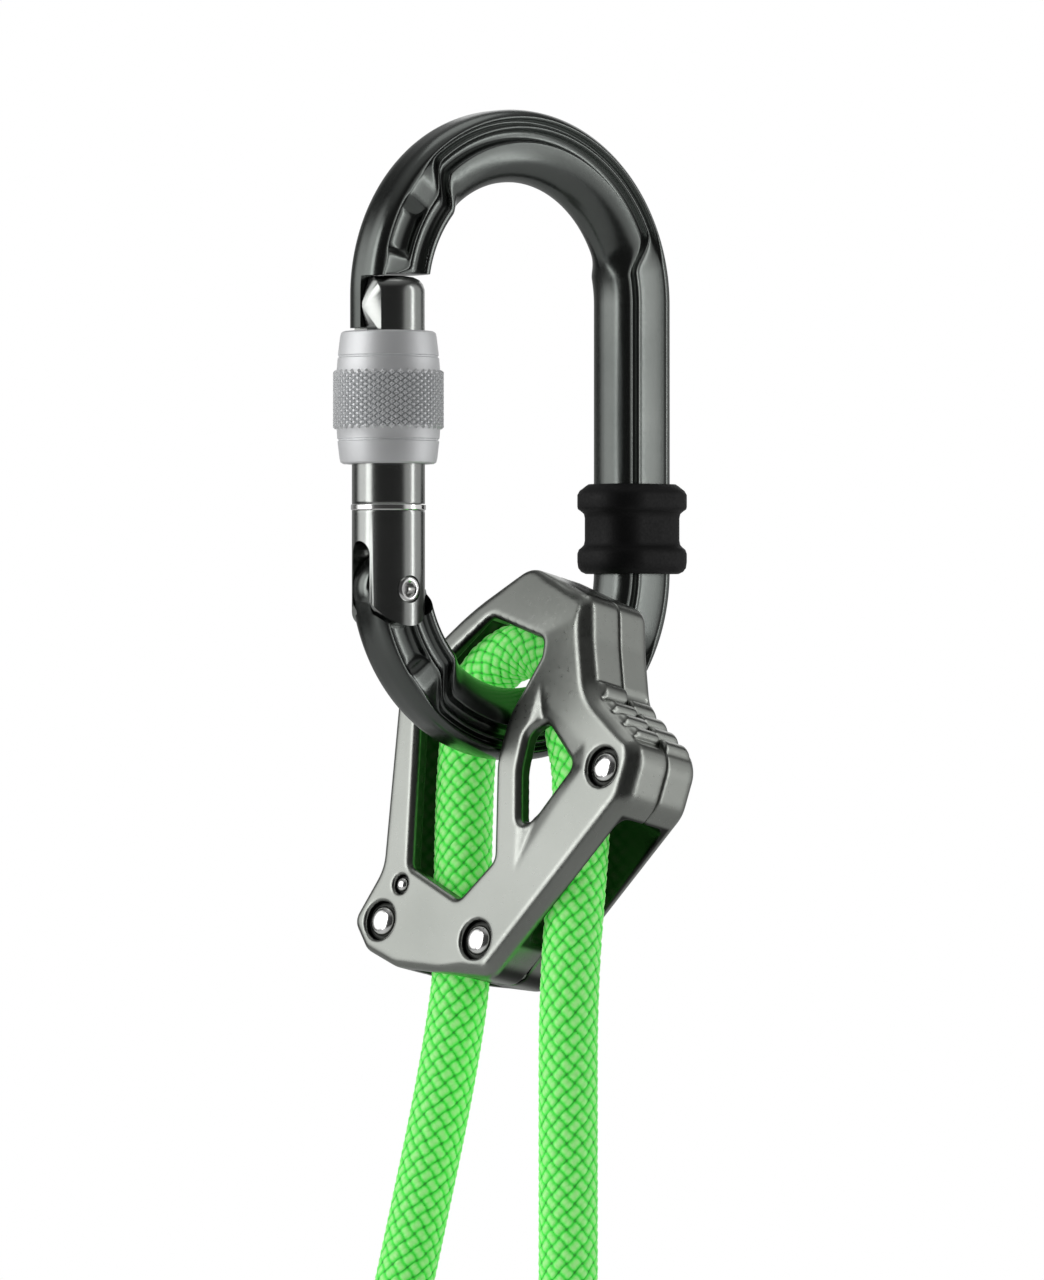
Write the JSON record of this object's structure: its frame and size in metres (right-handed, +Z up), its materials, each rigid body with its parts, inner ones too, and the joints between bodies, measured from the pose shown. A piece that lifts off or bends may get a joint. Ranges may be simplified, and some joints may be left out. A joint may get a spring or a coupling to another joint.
{
  "type": "belay device",
  "caption": "Riveted two-shell rope device on an oval screwgate carabiner, with the rope threaded over its bar.",
  "frame": {"origin": "inside of the carabiner's top bow, on its middle plane, where it hangs", "axes": "+Z up along the carabiner's long axis, +X from the gate to the spine, Y across the carabiner's thickness"},
  "size_m": [0.0707, 0.0613, 0.2501],
  "materials": {
    "anodised_body": "dark grey gloss anodising over a forged surface",
    "anodised_gate": "dark grey anodising over a turned surface",
    "silver_sleeve": "bead-blasted silver anodising with a diamond knurl",
    "bright_ring": "polished",
    "rivet_steel": "polished rivet heads",
    "spring_steel": "bright wire",
    "rubber": "moulded matt rubber",
    "shell_metal": "satin grey anodising over a tumbled forging",
    "insert_steel": "brushed",
    "rope_sheath": "braided polyamide sheath",
    "thimble_metal": "satin",
    "shrink_sleeve": "shrunk polyolefin tube",
    "thread": "polyester thread"
  },
  "bodies": {
    "root": {"carabiner_body": "anodised_body", "rubber_keeper": "rubber", "gate_pin": "rivet_steel"},
    "gate": {"gate_barrel": "anodised_gate", "stop_ring": "bright_ring", "gate_spring": "spring_steel", "spring_plunger": "spring_steel"},
    "sleeve_carrier": {"sleeve_ring": "rubber"},
    "sleeve": {"lock_sleeve": "silver_sleeve"},
    "device": {"front_shell": "shell_metal", "back_shell": "shell_metal", "wear_insert": "insert_steel", "strand_divider": "shell_metal", "rivet_right": "rivet_steel", "rivet_left": "rivet_steel", "rivet_centre": "rivet_steel", "rivet_small": "rivet_steel", "rope_bight": "rope_sheath", "load_leg": "rope_sheath", "brake_leg": "rope_sheath", "load_strand": "rope_sheath", "brake_strand": "rope_sheath", "load_eye": "rope_sheath", "load_thimble": "thimble_metal", "load_sleeve": "shrink_sleeve", "load_tail": "rope_sheath", "load_stitching": "thread", "brake_sleeve": "shrink_sleeve", "brake_tip": "rope_sheath", "brake_stitching": "thread"}
  },
  "joints": [
    {"name": "gate_swing", "type": "hinge", "parent": "root", "child": "gate", "pos_m": [-0.0257, 0, -0.0677], "axis": [0, 1, 0], "range_deg": [0, 24], "stiffness_Nm_per_rad": 0.05, "springref_deg": -11.46},
    {"name": "sleeve_travel", "type": "slide", "parent": "gate", "child": "sleeve_carrier", "axis": [0, 0, 1], "range_m": [-0.0065, 0]},
    {"name": "sleeve_turn", "type": "hinge", "parent": "sleeve_carrier", "child": "sleeve", "pos_m": [-0.0257, 0, -0.035], "axis": [0, 0, 1], "range_deg": [-586, 0]},
    {"name": "device_swing", "type": "hinge", "parent": "root", "child": "device", "pos_m": [0.0022, 0.00004, -0.08872], "axis": [0.9633, 0.1699, -0.2079], "range_deg": [-15, 3]}
  ],
  "couplings": [
    {"joint": "sleeve_turn", "follows": "sleeve_travel", "rad_per_m": 1570.8}
  ]
}
